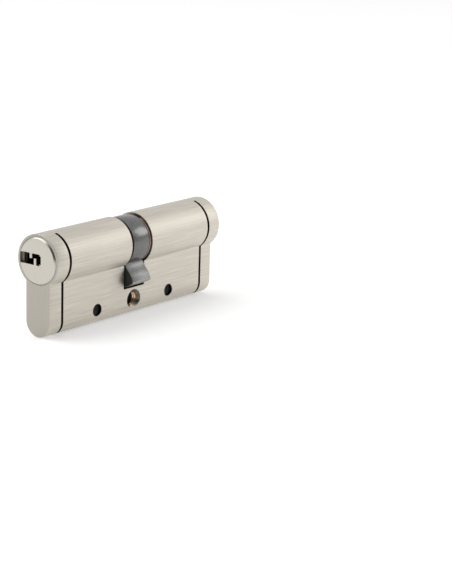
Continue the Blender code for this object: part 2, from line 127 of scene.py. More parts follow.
# Cam
CAM_X = (-0.00385, 0.00395)
CAM_BORE_R = 0.0056
CAM_EDGE = 0.00018
LEVER_ANGLE = math.radians(24.4)
LEVER_NECK_HALF_THICKNESS = 0.00175
LEVER_TIP_HALF_THICKNESS = 0.00268
LEVER_FLARE = (0.0086, 0.0128)
LEVER_CLEARANCE_R = 0.0083
LEVER_TIP_R = 0.015
LEVER_ROOT_R = 0.0072
LEVER_CORNER_R = 0.0007
# Beyond this radius the lever's tip is painted lighter: a painted highlight.
LEVER_HIGHLIGHT_FROM_R = LEVER_TIP_R - 1.5 * LEVER_CORNER_R
LEVER_FILLET_R = 0.0006
CLUTCH_GROOVE_R = 0.0065
CLUTCH_GROOVE_HALF_HEIGHT = 0.00125

# Small pieces
CROSS_PIN_ROUND = 0.0003
CROSS_PIN_DISH = 0.00012
DISH_SHARE = 0.55  # the dish's part of a pin's radius
BODY_DRILL_PIN_ROUND = 0.0002
PLUG_DRILL_PIN_ROUND = 0.0001
PIN_R = 0.00135
PIN_ROUND = 0.0003
KEY_PIN_TIP_ROUND = 0.00035
KEY_PIN_TIP_FLAT_R = 0.0001
KEY_PIN_TIP_ANGLE = math.radians(42)
KEY_PIN_POINT = 0.00095  # the pointed end's length
SPRING_R = 0.00105
SPRING_WIRE_R = 0.00015
SPRING_TURNS = 5.0
SPRING_STEPS = 16  # points per turn
SPRING_END_TURNS = 0.8
SPRING_END_PITCH = 2.4 * SPRING_WIRE_R
CLIP_OUTER_R = 0.008
CLIP_INNER_R = 0.00495
CLIP_GAP_ANGLE = math.radians(25)
CLIP_EDGE = 0.00006

BARREL_STEPS = 72
BOTTOM_STEPS = 40
FINE_SEGMENTS = 144
HOLE_SEGMENTS = 64
PIN_SEGMENTS = 32
PAST = 0.001  # how far a cutter reaches past the surface that it opens
MERGE = 1e-7
SHARP_ANGLE = math.radians(30)
ACROSS = Matrix(((0, 0, 1, 0), (1, 0, 0, 0), (0, 1, 0, 0), (0, 0, 0, 1)))

# How much of their normal points along X, to tell ends, edges and sides apart
END_NORMAL = 0.9
CAM_END_NORMAL = 0.95
CAM_EDGE_NORMAL = 0.2
HEAD_SIDE_NORMAL = 0.3

# Finishes: streaks as (length, width), grains in cells per metre, bumps as heights
FINE_STREAK = (0.012, 0.00016)
BROAD_STREAK = (0.02, 0.0007)
CLOUD_GRAIN = (90.0,) * 3
TOOL_GRAIN = (5200.0,) * 3
DRAWN_TOOL_GRAIN = (900.0, 5200.0, 5200.0)
STAIN_GRAIN = (420.0,) * 3
WALL_GRAIN = (700.0,) * 3
OIL_GRAIN = (900.0,) * 3
POWDER_GRAIN = (2600.0,) * 3
MOTTLE_GRAIN = (1100.0,) * 3
PORE_GRAIN = 2400.0
BRUSHED_EDGE = 0.00022
CUT_EDGE = 0.00015
SINTERED_EDGE = 0.00025
STREAK_BUMP = 4e-6
TOOL_BUMP = 5e-6
SKIN_BUMP = 1e-5
GRADED_ROUGHNESS = (0.32, 0.46)
KEYWAY_SHADE_X = (HEAD_FACE_X - 0.0016, HEAD_FACE_X)
SLOT_SHADE_Z = (-0.0085, 0.002)
MOUTH_SHADE_Z = (SCREW_Z - 0.0026, SCREW_Z - 0.0012)

# Camera and light
FLOOR_HALF_SIZE = 3.0
FLOOR_GAP = 0.00005
FLOOR_GREY = 0.8
FLOOR_GLOW = 0.4
DARK_SIDE = (-0.62, -0.77, 0.15)
WORLD_STRENGTH = (0.85, 0.08)
WORLD_FADE = (0.0, 0.75)  # the part of a direction along the dark side where the fade starts and ends
CAMERA_LOCATION = Vector((-0.452347, -0.387672, 0.138625))
CAMERA_AZIMUTH = math.radians(37.326)
CAMERA_DIP = math.radians(14.611)
CAMERA_ROLL = math.radians(1.608)
CAMERA_LENS_MM = 115.86


# ---------------------------------------------------------------- shapes


def arc(radius, start, end, steps, centre=(0.0, 0.0)):
    """Points of an arc in a flat outline, both ends included."""
    angles = [start + (end - start) * i / steps for i in range(steps + 1)]
    return [(centre[0] + radius * math.cos(a), centre[1] + radius * math.sin(a)) for a in angles]


def mesh_from(bm, name):
    mesh = bpy.data.meshes.new(name)
    bm.to_mesh(mesh)
    bm.free()
    return mesh


def rod_mesh(start, end, radius, end_radius=None, segments=HOLE_SEGMENTS):
    """A closed cylinder, or a cone, between two points."""
    start, end = Vector(start), Vector(end)
    turn = Vector((0, 0, 1)).rotation_difference(end - start).to_matrix().to_4x4()
    bm = bmesh.new()
    bmesh.ops.create_cone(
        bm,
        cap_ends=True,
        segments=segments,
        radius1=radius,
        radius2=radius if end_radius is None else end_radius,
        depth=(end - start).length,
        matrix=Matrix.Translation((start + end) / 2) @ turn,
    )
    return mesh_from(bm, "rod")


def box_mesh(low, high):
    low, high = Vector(low), Vector(high)
    bm = bmesh.new()
    bmesh.ops.create_cube(bm, size=1.0)
    place = Matrix.Translation((low + high) / 2) @ Matrix.Diagonal((*(high - low), 1.0))
    bmesh.ops.transform(bm, matrix=place, verts=bm.verts)
    return mesh_from(bm, "box")


def curve_mesh(curve, matrix):
    """The mesh of a curve, its caps welded, with its points moved by the matrix."""
    guide = bpy.data.objects.new(curve.name, curve)
    bpy.context.scene.collection.objects.link(guide)
    bpy.context.view_layer.update()
    evaluated = guide.evaluated_get(bpy.context.evaluated_depsgraph_get())
    mesh = bpy.data.meshes.new_from_object(evaluated)
    bpy.data.objects.remove(guide, do_unlink=True)
    bm = bmesh.new()
    bm.from_mesh(mesh)
    bpy.data.meshes.remove(mesh)
    bmesh.ops.remove_doubles(bm, verts=bm.verts, dist=MERGE)
    bmesh.ops.transform(bm, matrix=matrix, verts=bm.verts)
    bmesh.ops.recalc_face_normals(bm, faces=bm.faces)
    return mesh_from(bm, "curve")


def plate_mesh(outlines, x_low, x_high, edge=0.0):
    """Flat (y, z) outlines filled and extruded along X, with rounded edges. An inner outline is a hole."""
    curve = bpy.data.curves.new("outline", "CURVE")
    curve.dimensions = "2D"
    curve.fill_mode = "BOTH"
    curve.extrude = (x_high - x_low) / 2 - edge
    curve.bevel_depth = edge
    curve.bevel_resolution = 2
    curve.offset = -edge
    for outline in outlines:
        spline = curve.splines.new("POLY")
        spline.points.add(len(outline) - 1)
        for point, (y, z) in zip(spline.points, outline):
            point.co = (y, z, 0, 1)
        spline.use_cyclic_u = True
    return curve_mesh(curve, Matrix.Translation(((x_low + x_high) / 2, 0, 0)) @ ACROSS)


def turned_mesh(profile, segments, matrix):
    """A closed turned solid from (radius, height) points, which start and end on the axis, top first."""
    bm = bmesh.new()
    rings = []
    for radius, height in profile[1:-1]:
        ring = arc(radius, 0, 2 * math.pi, segments)[:-1]
        rings.append([bm.verts.new((x, y, height)) for x, y in ring])
    for upper, lower in zip(rings, rings[1:]):
        for i in range(segments):
            j = (i + 1) % segments
            bm.faces.new((upper[i], lower[i], lower[j], upper[j]))
    bm.faces.new(rings[0])
    bm.faces.new(rings[-1][::-1])
    bmesh.ops.transform(bm, matrix=matrix, verts=bm.verts)
    bmesh.ops.recalc_face_normals(bm, faces=bm.faces)
    return mesh_from(bm, "turned")


def loft_mesh(sections):
    """A closed solid through (x, outline) sections that have the same number of points."""
    bm = bmesh.new()
    rings = [[bm.verts.new((x, y, z)) for y, z in outline] for x, outline in sections]
    count = len(rings[0])
    for here, there in zip(rings, rings[1:]):
        for i in range(count):
            j = (i + 1) % count
            bm.faces.new((here[i], here[j], there[j], there[i]))
    bm.faces.new(rings[0][::-1])
    bm.faces.new(rings[-1])
    bmesh.ops.recalc_face_normals(bm, faces=bm.faces)
    return mesh_from(bm, "loft")


def offset_outline(outline, distance):
    """The outline with each side moved outwards by the distance. The outline runs anticlockwise."""
    moved = []
    count = len(outline)
    for i in range(count):
        before, here, after = (Vector(outline[(i + k) % count]) for k in (-1, 0, 1))
        first = (here - before).normalized()
        second = (after - here).normalized()
        out_first = Vector((first.y, -first.x))
        out_second = Vector((second.y, -second.x))
        bisector = (out_first + out_second) / (1 + out_first.dot(out_second))
        moved.append(tuple(here + bisector * distance))
    return moved


def thread_mesh(y_low, y_high):
    """A rod with a helical thread about the line through the fixing hole, a cutter for the hole."""
    bm = bmesh.new()
    rows = round((y_high - y_low) / THREAD_PITCH * THREAD_STEPS)
    rings = []
    for row in range(rows + 1):
        y = y_low + (y_high - y_low) * row / rows
        ring = []
        for i in range(HOLE_SEGMENTS):
            angle = 2 * math.pi * i / HOLE_SEGMENTS
            phase = (y / THREAD_PITCH - i / HOLE_SEGMENTS) % 1.0
            ridge = min(1.0, max(0.0, THREAD_SLOPE * abs(phase - 0.5) - THREAD_FLAT))
            radius = THREAD_MAJOR_R - (THREAD_MAJOR_R - THREAD_MINOR_R) * ridge
            ring.append(bm.verts.new((radius * math.cos(angle), y, SCREW_Z + radius * math.sin(angle))))
        rings.append(ring)
    for here, there in zip(rings, rings[1:]):
        for i in range(HOLE_SEGMENTS):
            j = (i + 1) % HOLE_SEGMENTS
            bm.faces.new((here[i], here[j], there[j], there[i]))
    bm.faces.new(rings[0][::-1])
    bm.faces.new(rings[-1])
    bmesh.ops.recalc_face_normals(bm, faces=bm.faces)
    return mesh_from(bm, "thread")


def middle_of(node):
    """The middle of a CAD node's box."""
    return tuple((low + high) / 2 for low, high in zip(*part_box(node)))


def piece(name, mesh, material):
    mesh.name = name
    mesh.materials.clear()
    mesh.materials.append(material)
    obj = bpy.data.objects.new(name, mesh)
    bpy.context.scene.collection.objects.link(obj)
    return obj


def carve(obj, cutters, operation="DIFFERENCE"):
    """Cuts (mesh, material) pairs from the piece, or joins them to it. New faces take their material."""
    tools = []
    for number, (mesh, material) in enumerate(cutters):
        tool = piece(f"tool_{number}", mesh, material)
        modifier = obj.modifiers.new(tool.name, "BOOLEAN")
        modifier.operation = operation
        modifier.solver = "MANIFOLD"
        modifier.material_mode = "TRANSFER"
        modifier.object = tool
        tools.append(tool)
    bpy.context.view_layer.update()
    evaluated = obj.evaluated_get(bpy.context.evaluated_depsgraph_get())
    mesh = bpy.data.meshes.new_from_object(evaluated)
    mesh.name = obj.name
    obj.modifiers.clear()
    obj.data = mesh
    for tool in tools:
        bpy.data.objects.remove(tool, do_unlink=True)


def repaint(obj, material, chosen):
    """Gives the material to the faces that the test picks."""
    obj.data.materials.append(material)
    index = len(obj.data.materials) - 1
    for face in obj.data.polygons:
        if chosen(face):
            face.material_index = index


def finish_piece(obj, body, node):
    """Shades a made piece and lets it stand for its CAD node."""
    obj.data.shade_smooth()
    obj.data.set_sharp_from_angle(angle=SHARP_ANGLE)
    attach(obj, body)
    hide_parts(node)


# ---------------------------------------------------------------- materials


def shade(colour, factor):
    return tuple(min(1.0, c * factor) for c in colour)


def new_node(tree, kind, **inputs):
    made = tree.nodes.new(kind)
    for name, value in inputs.items():
        made.inputs[name.replace("_", " ")].default_value = value
    return made


def noise(tree, coordinates, scale, detail=3.0, rough=0.6):
    """A noise read at the object's own coordinates, stretched by a scale for each axis, per metre."""
    mapping = new_node(tree, "ShaderNodeMapping", Scale=scale)
    texture = new_node(tree, "ShaderNodeTexNoise", Scale=1.0, Detail=detail, Roughness=rough)
    tree.links.new(coordinates, mapping.inputs["Vector"])
    tree.links.new(mapping.outputs["Vector"], texture.inputs["Vector"])
    return texture.outputs["Fac"]


def remap(tree, value, low, high, from_low=0.3, from_high=0.7):
    """Turns the range from_low to from_high into low to high, and stops at its ends."""
    ranged = new_node(tree, "ShaderNodeMapRange")
    numbers = (from_low, from_high, low, high)
    for name, number in zip(("From Min", "From Max", "To Min", "To Max"), numbers):
        ranged.inputs[name].default_value = number
    tree.links.new(value, ranged.inputs["Value"])
    return ranged.outputs["Result"]


def mix_colour(tree, factor, low, high):
    """Mixes two colours; each is a colour or another mix's output."""
    mixed = tree.nodes.new("ShaderNodeMix")
    mixed.data_type = "RGBA"
    tree.links.new(factor, mixed.inputs["Factor"])
    for name, colour in (("A", low), ("B", high)):
        socket = next(s for s in mixed.inputs if s.name == name and s.type == "RGBA")
        if isinstance(colour, tuple):
            socket.default_value = (*colour, 1.0)
        else:
            tree.links.new(colour, socket)
    return next(s for s in mixed.outputs if s.type == "RGBA")


def math_node(tree, operation, first, second):
    made = tree.nodes.new("ShaderNodeMath")
    made.operation = operation
    for socket, value in zip(made.inputs, (first, second)):
        if isinstance(value, float):
            socket.default_value = value
        else:
            tree.links.new(value, socket)
    return made.outputs["Value"]


def scaled(tree, value, factor):
    return math_node(tree, "MULTIPLY", value, factor)


def edge_factor(tree, radius):
    """Near 1 along sharp edges and 0 on open surfaces."""
    rounded = new_node(tree, "ShaderNodeBevel", Radius=radius)
    rounded.samples = 4
    geometry = tree.nodes.new("ShaderNodeNewGeometry")
    alike = tree.nodes.new("ShaderNodeVectorMath")
    alike.operation = "DOT_PRODUCT"
    tree.links.new(rounded.outputs["Normal"], alike.inputs[0])
    tree.links.new(geometry.outputs["Normal"], alike.inputs[1])
    return remap(tree, alike.outputs["Value"], 1.0, 0.0, 0.86, 0.995)


def new_metal(name, metallic=1.0):
    """A metal, its tree, its shader and its object coordinates."""
    material = bpy.data.materials.new(name)
    material.use_nodes = True
    tree = material.node_tree
    shader = tree.nodes["Principled BSDF"]
    shader.inputs["Metallic"].default_value = metallic
    coordinates = tree.nodes.new("ShaderNodeTexCoord").outputs["Object"]
    return material, tree, shader, coordinates


def finish_metal(tree, shader, colour, roughness, height, depth):
    """Links the colour and the roughness, and bumps the surface by the height."""
    tree.links.new(colour, shader.inputs["Base Color"])
    tree.links.new(roughness, shader.inputs["Roughness"])
    bump = new_node(tree, "ShaderNodeBump", Strength=1.0, Distance=depth)
    tree.links.new(height, bump.inputs["Height"])
    tree.links.new(bump.outputs["Normal"], shader.inputs["Normal"])


def spread_highlight(tree, shader, along, spread):
    """Widens a highlight across streaks that run along one axis."""
    across = tree.nodes.new("ShaderNodeVectorMath")
    across.operation = "CROSS_PRODUCT"
    across.inputs[1].default_value = tuple(float(axis == along) for axis in "XYZ")
    geometry = tree.nodes.new("ShaderNodeNewGeometry")
    tree.links.new(geometry.outputs["Normal"], across.inputs[0])
    tree.links.new(across.outputs["Vector"], shader.inputs["Tangent"])
    shader.inputs["Anisotropic"].default_value = spread


def brushed(name, colour, along, roughness, variation=0.09, spread=0.0):
    """Brushed metal: fine and broad streaks that run along the axes named, lighter along the edges as a
    painted highlight.
    """
    material, tree, shader, coordinates = new_metal(name)
    if spread:
        spread_highlight(tree, shader, along, spread)

    def streaks(size, detail):
        length, width = size
        scale = tuple(1 / length if axis in along else 1 / width for axis in "XYZ")
        return noise(tree, coordinates, scale, detail)

    fine = streaks(FINE_STREAK, 2.0)
    broad = streaks(BROAD_STREAK, 3.0)
    cloud = noise(tree, coordinates, CLOUD_GRAIN, detail=2.0)
    lines = math_node(tree, "ADD", scaled(tree, fine, 0.6), scaled(tree, broad, 0.4))
    dark, light = shade(colour, 1 - variation), shade(colour, 1 + variation)
    tone = mix_colour(tree, remap(tree, lines, 0.0, 1.0, 0.36, 0.64), dark, light)
    tint = mix_colour(tree, remap(tree, cloud, 0.0, 0.35, 0.4, 0.7), tone, shade(colour, 0.95))
    edge = edge_factor(tree, BRUSHED_EDGE)
    edge_light = math_node(tree, "MULTIPLY", edge, remap(tree, broad, 0.25, 0.9))
    # Lighter along the edges: a painted highlight.
    edge_lit = mix_colour(tree, edge_light, tint, shade(colour, 1.18))
    rough = remap(tree, lines, roughness - 0.06, roughness + 0.07, 0.35, 0.65)
    smooth_edged = math_node(tree, "SUBTRACT", rough, scaled(tree, edge, 0.08))
    finish_metal(tree, shader, edge_lit, smooth_edged, lines, STREAK_BUMP)
    return material


def machined(name, colour, roughness=0.38, variation=0.12):
    """Cut metal that no brush reached: fine tool marks in every direction."""
    material, tree, shader, coordinates = new_metal(name)
    marks = noise(tree, coordinates, TOOL_GRAIN)
    stains = noise(tree, coordinates, STAIN_GRAIN)
    dark, light = shade(colour, 1 - variation), shade(colour, 1 + variation)
    tone = mix_colour(tree, remap(tree, stains, 0.0, 1.0), dark, light)
    # Lighter along the edges: a painted highlight.
    edge_lit = mix_colour(tree, edge_factor(tree, CUT_EDGE), tone, shade(colour, 1.25))
    rough = remap(tree, marks, roughness - 0.05, roughness + 0.09)
    finish_metal(tree, shader, edge_lit, rough, marks, TOOL_BUMP)
    return material


def sintered(name, colour, roughness):
    """Pressed and sintered steel: a mottled dull skin with fine pores, bright along the edges as a painted
    highlight.
    """
    material, tree, shader, coordinates = new_metal(name, metallic=0.9)
    grain = noise(tree, coordinates, POWDER_GRAIN, detail=4.0, rough=0.7)
    mottle = noise(tree, coordinates, MOTTLE_GRAIN)
    pores = new_node(tree, "ShaderNodeTexVoronoi", Scale=PORE_GRAIN)
    tree.links.new(coordinates, pores.inputs["Vector"])
    pits = remap(tree, pores.outputs["Distance"], 1.0, 0.0, 0.08, 0.3)
    dark, light = shade(colour, 0.86), shade(colour, 1.12)
    tone = mix_colour(tree, remap(tree, mottle, 0.0, 1.0), dark, light)
    speckle = mix_colour(tree, remap(tree, grain, 0.0, 0.5, 0.42, 0.68), tone, shade(colour, 1.4))
    pitted = mix_colour(tree, scaled(tree, pits, 0.5), speckle, shade(colour, 0.4))
    edge = edge_factor(tree, SINTERED_EDGE)
    # Brighter along the edges: a painted highlight.
    edge_lit = mix_colour(tree, scaled(tree, edge, 0.7), pitted, shade(colour, 2.2))
    rough = remap(tree, grain, roughness - 0.08, roughness + 0.1)
    height = math_node(tree, "SUBTRACT", grain, scaled(tree, pits, 0.6))
    finish_metal(tree, shader, edge_lit, rough, height, SKIN_BUMP)
    return material


def painted_recess_shade(name, colour):
    """Painted shade for narrow grooves, gaps and shaded faces: a near-black surface with oily blotches that
    hardly shines.
    """
    material, tree, shader, coordinates = new_metal(name, metallic=0.2)
    oil = noise(tree, coordinates, OIL_GRAIN)
    tone = mix_colour(tree, remap(tree, oil, 0.0, 1.0), colour, shade(colour, 1.8))
    finish_metal(tree, shader, tone, remap(tree, oil, 0.5, 0.7), oil, SKIN_BUMP)
    return material


def graded(name, near, far, axis, reach):
    """Cut metal whose colour goes from near to far over a reach along Z, or along X from the middle out, to
    paint light and shade by place.
    """
    material, tree, shader, coordinates = new_metal(name)
    marks = noise(tree, coordinates, DRAWN_TOOL_GRAIN, detail=2.0)
    stains = noise(tree, coordinates, WALL_GRAIN)
    parts = tree.nodes.new("ShaderNodeSeparateXYZ")
    tree.links.new(coordinates, parts.inputs["Vector"])
    along = parts.outputs[axis]
    if axis == "X":
        along = math_node(tree, "ABSOLUTE", along, 0.0)
    tone = mix_colour(tree, remap(tree, along, 0.0, 1.0, *reach), near, far)
    stained = mix_colour(tree, remap(tree, stains, 0.0, 0.4), tone, shade(near, 0.6))
    rough = remap(tree, marks, *GRADED_ROUGHNESS)
    finish_metal(tree, shader, stained, rough, marks, STREAK_BUMP)
    return material


NICKEL = (0.65, 0.61, 0.54)
# A darker copy of the nickel for the end faces: painted shade, and partly the ends' greyer finish.
NICKEL_END_SHADED = shade(NICKEL, 0.69)
NICKEL_HEAD = (0.555, 0.53, 0.47)
BLACK = (0.012, 0.010, 0.008)
MATERIALS = {
    "nickel": brushed("satin_nickel", NICKEL, "X", 0.49, variation=0.16, spread=0.55),
    "nickel_end_shaded": brushed("end_nickel_painted_shade", NICKEL_END_SHADED, "Z", 0.4, variation=0.06, spread=0.4),
    "nickel_head": brushed("satin_nickel_head", NICKEL_HEAD, "Z", 0.3, variation=0.045, spread=0.3),
    # Near black: painted shade on the walls of the cross pins' holes.
    "chamfer": machined("hole_wall_painted_shade", (0.085, 0.08, 0.075), roughness=0.32),
    "brass": machined("cut_brass", (0.50, 0.33, 0.17)),
    "thread": machined("thread_brass", (0.66, 0.47, 0.31), roughness=0.15),
    # Light at the bottom of the fixing hole's countersinks, near black above: a painted highlight and painted
    # shade.
    "mouth": graded("mouth_painted_highlight_and_shade", (0.75, 0.68, 0.58), (0.1, 0.088, 0.072), "Z", MOUTH_SHADE_Z),
    "recess": machined("recess_brass", (0.5, 0.45, 0.36), roughness=0.5),
    # Near black deep in the plug: painted shade; lighter at the head's face: partly plating, partly painted
    # light.
    "keyway": graded("keyway_painted_light_and_shade", (0.04, 0.032, 0.022), (0.5, 0.46, 0.39), "X", KEYWAY_SHADE_X),
    # Brass on the cam slot's upper walls, near black further down: painted shade.
    "slot": graded("slot_brass_painted_shade", BLACK, (0.62, 0.53, 0.44), "Z", SLOT_SHADE_Z),
    # Near black: painted shade in the grooves and gaps, on the front clip and in the head's step pocket.
    "groove": painted_recess_shade("groove_painted_shade", BLACK),
    "cam": sintered("sintered_steel", (0.16, 0.162, 0.156), roughness=0.19),
    # A lighter copy of the cam steel for the lever: painted light.
    "lever": sintered("sintered_lever_painted_light", (0.205, 0.207, 0.2), roughness=0.32),
    # A lighter copy of the cam steel for the lever's tip: a painted highlight.
    "lever_tip_highlight": sintered("lever_tip_painted_highlight", (0.33, 0.335, 0.325), roughness=0.3),
    # Near black: painted shade on the cam's end faces and in the bar's threaded hole.
    "steel_painted_shade": painted_recess_shade("steel_end_painted_shade", (0.022, 0.022, 0.019)),
    "clip": brushed("clip_bronze", (0.40, 0.29, 0.21), "YZ", 0.3, variation=0.4),
    "bar": brushed("bar_steel", (0.40, 0.40, 0.41), "X", 0.36),
    "cross_pin": machined("blackened_steel", (0.028, 0.028, 0.027), roughness=0.4, variation=0.3),
    "hard_steel": machined("hardened_steel", (0.34, 0.34, 0.36), roughness=0.28),
    "pin": brushed("turned_brass", (0.74, 0.54, 0.25), "Z", 0.26, variation=0.06),
    "driver": brushed("nickel_silver", (0.64, 0.62, 0.54), "Z", 0.25, variation=0.06),
    "spring": machined("spring_steel", (0.46, 0.46, 0.47), roughness=0.3),
}


# ---------------------------------------------------------------- body


def body_outline(inset, top_angle):
    """The body's profile, moved inwards by the inset and open over top_angle on either side of the top."""
    radius = BARREL_R - inset
    half_width = BODY_HALF_WIDTH - inset
    join = math.asin(half_width / radius) - math.pi / 2
    top = math.pi / 2
    right = arc(radius, top - top_angle, join, BARREL_STEPS)
    bottom = arc(half_width, 0, -math.pi, BOTTOM_STEPS, (0.0, BODY_BOTTOM_Z + BODY_HALF_WIDTH))
    left = arc(radius, -math.pi - join, -math.pi * 1.5 + top_angle, BARREL_STEPS)
    return right + bottom + left


def chamber_x(end, number):
    return middle_of(f"key_pin_{end}_{number}")[0]


def cross_hole_cutters(end):
    """The hole of a cross pin, its wall near black as painted shade, with a small plated chamfer on each
    flank.
    """
    x, _y, z = middle_of(f"cross_pin_{end}")
    reach = BODY_HALF_WIDTH + PAST
    cutters = [(rod_mesh((x, -reach, z), (x, reach, z), CROSS_HOLE_R), MATERIALS["chamfer"])]
    for flank in (-1, 1):
        outer = (x, flank * (BODY_HALF_WIDTH + HOLE_CHAMFER), z)
        inner = (x, flank * (BODY_HALF_WIDTH - HOLE_CHAMFER), z)
        rim = rod_mesh(outer, inner, CROSS_HOLE_R + 2 * HOLE_CHAMFER, CROSS_HOLE_R)
        cutters.append((rim, MATERIALS["nickel"]))
    return cutters


def housing_end_cutters(end, side):
    """What opens one half of the body, from the plug's bore to the cross pin's hole."""
    # The head's recess and the grooves are painted near black: painted shade.
    brass, dark = MATERIALS["brass"], MATERIALS["groove"]
    outside = side * (HALF_LENGTH + PAST)
    bore = rod_mesh((outside, 0, 0), (side * SLOT_HALF_WIDTH / 2, 0, 0), BORE_R, segments=FINE_SEGMENTS)
    recess_floor = side * (HALF_LENGTH - HEAD_BORE_DEPTH)
    recess = rod_mesh((outside, 0, 0), (recess_floor, 0, 0), HEAD_BORE_R, segments=FINE_SEGMENTS)
    band = body_outline(-PAST, GROOVE_TOP_ANGLE) + body_outline(GROOVE_DEPTH, GROOVE_TOP_ANGLE)[::-1]
    middle = side * GROOVE_X
    groove = plate_mesh([band], middle - GROOVE_WIDTH / 2, middle + GROOVE_WIDTH / 2)
    low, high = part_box(f"body_drill_pin_{end}")
    x = (low.x + high.x) / 2
    radius = (high.x - low.x) / 2 + DRILL_PIN_GAP
    drill_hole = rod_mesh((x, 0, BODY_BOTTOM_Z - PAST), (x, 0, high.z + DRILL_PIN_GAP), radius)
    cutters = [(bore, brass), (recess, dark), (groove, dark), (drill_hole, brass)]
    for number in PINS:
        x = chamber_x(end, number)
        chamber = rod_mesh((x, 0, BAR_HIGH.z), (x, 0, PAST - BORE_R), CHAMBER_R, segments=PIN_SEGMENTS)
        cutters.append((chamber, brass))
    return cutters + cross_hole_cutters(end)


def screw_hole_cutters():
    """The threaded hole, with a countersink on each flank, painted light at its bottom and painted shade
    above.
    """
    reach = BODY_HALF_WIDTH + PAST / 2
    cutters = [(thread_mesh(-reach, reach), MATERIALS["thread"])]
    for flank in (-1, 1):
        outer = (0, flank * (BODY_HALF_WIDTH + PAST), SCREW_Z)
        inner = (0, flank * (BODY_HALF_WIDTH - PAST), SCREW_Z)
        mouth = rod_mesh(outer, inner, SCREW_MOUTH_R + PAST, SCREW_MOUTH_R - PAST)
        cutters.append((mouth, MATERIALS["mouth"]))
    return cutters


def make_housing():
    outline = body_outline(0.0, 0.0)[:-1]
    body = plate_mesh([outline], -HALF_LENGTH, HALF_LENGTH, BODY_EDGE)
    housing = piece("housing_body", body, MATERIALS["nickel"])
    bar_slot = box_mesh(
        (BAR_LOW.x - BAR_GAP, BAR_LOW.y - BAR_GAP, BODY_BOTTOM_Z - PAST),
        (BAR_HIGH.x + BAR_GAP, BAR_HIGH.y + BAR_GAP, BAR_HIGH.z + BAR_GAP),
    )
    cutters = [(bar_slot, MATERIALS["brass"])]
    for end, side in ENDS:
        cutters += housing_end_cutters(end, side)
    cutters += screw_hole_cutters()
    # The cam slot's walls darken downwards: painted shade.
    cam_slot = rod_mesh((-SLOT_HALF_WIDTH, 0, 0), (SLOT_HALF_WIDTH, 0, 0), SLOT_R, segments=FINE_SEGMENTS)
    cutters.append((cam_slot, MATERIALS["slot"]))
    carve(housing, cutters)
    plated = housing.data.materials[:].index(MATERIALS["nickel"])

    def faced_end(face):
        at_end = abs(face.center.x) > HALF_LENGTH - 2 * BODY_EDGE
        return face.material_index == plated and at_end and abs(face.normal.x) > END_NORMAL

    # The end faces take the darker nickel copy: painted shade.
    repaint(housing, MATERIALS["nickel_end_shaded"], faced_end)
    finish_piece(housing, "housing", "housing")


def make_bar():
    half_width = BAR_HIGH.y
    radius = BODY_HALF_WIDTH - BAR_INSET
    spread = math.asin(half_width / radius)
    centre = (0.0, BODY_BOTTOM_Z + BODY_HALF_WIDTH)
    bottom = arc(radius, -math.pi / 2 + spread, -math.pi / 2 - spread, 16, centre)
    outline = [(half_width, BAR_HIGH.z), *bottom, (-half_width, BAR_HIGH.z)]
    steel = MATERIALS["bar"]
    bar = piece("snap_bar", plate_mesh([outline], BAR_LOW.x, BAR_HIGH.x, BODY_EDGE), steel)
    reach = BODY_HALF_WIDTH + PAST / 2
    # The bar's thread is painted near black: painted shade inside the hole.
    cutters = [(thread_mesh(-reach, reach), MATERIALS["steel_painted_shade"])]
    for end, _side in ENDS:
        x, _y, z = middle_of(f"cross_pin_{end}")
        cutters.append((rod_mesh((x, -reach, z), (x, reach, z), CROSS_HOLE_R), steel))
    carve(bar, cutters)
    finish_piece(bar, "housing", "anti_snap_bar")


def rounded_rod(radius, length, rounding, dish_depth=0.0):
    """Profile of a straight pin on its own origin, with rounded ends and perhaps a shallow dish on top."""
    top = arc(rounding, math.pi / 2, 0, 5, (radius - rounding, length - rounding))
    foot = arc(rounding, 0, -math.pi / 2, 5, (radius - rounding, rounding))
    head = [(0, length)]
    if dish_depth:
        head = [(0, length - dish_depth), (DISH_SHARE * radius, length - dish_depth)]
    return [*head, *top, *foot, (0, 0)]


def make_cross_pin(node):
    """A blackened pin that lies along Y."""
    low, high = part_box(node)
    length = high.y - low.y
    profile = rounded_rod(CROSS_PIN_R, length, CROSS_PIN_ROUND, CROSS_PIN_DISH)
    lay = Matrix.Rotation(math.pi / 2, 4, "X")
    place = Matrix.Translation((low + high) / 2) @ lay @ Matrix.Translation((0, 0, -length / 2))
    pin = piece(f"{node}_steel", turned_mesh(profile, 2 * PIN_SEGMENTS, place), MATERIALS["cross_pin"])
    finish_piece(pin, "housing", node)


def make_drill_pin(node, body, rounding):
    """A hardened pin that stands along Z."""
    low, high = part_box(node)
    length = high.z - low.z
    profile = rounded_rod((high.x - low.x) / 2, length, rounding)
    place = Matrix.Translation((low + high) / 2) @ Matrix.Translation((0, 0, -length / 2))
    pin = piece(f"{node}_steel", turned_mesh(profile, 2 * PIN_SEGMENTS, place), MATERIALS["hard_steel"])
    finish_piece(pin, body, node)


def make_straight_pins(end):
    make_cross_pin(f"cross_pin_{end}")
    make_drill_pin(f"body_drill_pin_{end}", "housing", BODY_DRILL_PIN_ROUND)
    make_drill_pin(f"plug_drill_pin_{end}", f"plug_{end}", PLUG_DRILL_PIN_ROUND)


# ---------------------------------------------------------------- plugs


